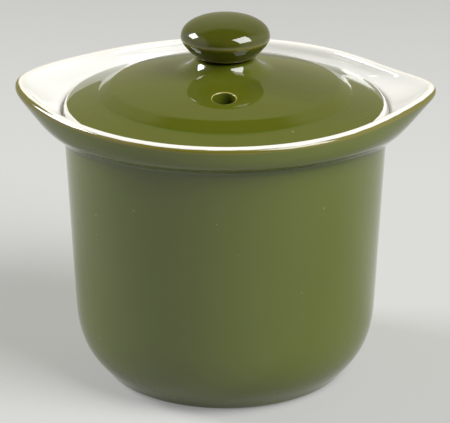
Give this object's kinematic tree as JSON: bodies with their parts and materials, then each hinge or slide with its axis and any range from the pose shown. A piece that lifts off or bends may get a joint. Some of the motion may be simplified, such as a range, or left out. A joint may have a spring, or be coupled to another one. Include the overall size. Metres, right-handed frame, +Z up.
{
  "type": "lidded marmite pot",
  "caption": "Small footed stoneware pot with a lug handle at each side and a loose domed lid that has a knob and a steam vent.",
  "frame": {"origin": "the middle of the foot, on the surface that the pot stands on", "axes": "+X toward the narrower lug, at the right of the picture; -Y toward the front, where the lid's vent is; +Z up"},
  "size_m": [0.127, 0.108, 0.1115],
  "materials": {
    "pot_glaze": "gloss olive green glaze outside, warm white glaze inside and on the ledge",
    "lid_glaze": "gloss olive green glaze on top, warm white glaze below",
    "knob_glaze": "gloss olive green glaze"
  },
  "bodies": {
    "pot": {"pot": "pot_glaze"},
    "lid": {"lid": "lid_glaze", "lid_knob": "knob_glaze"}
  },
  "joints": [
    {"name": "lid_lift", "type": "slide", "parent": "pot", "child": "lid", "axis": [0, 0, 1], "range_m": [0, 0.06]}
  ]
}
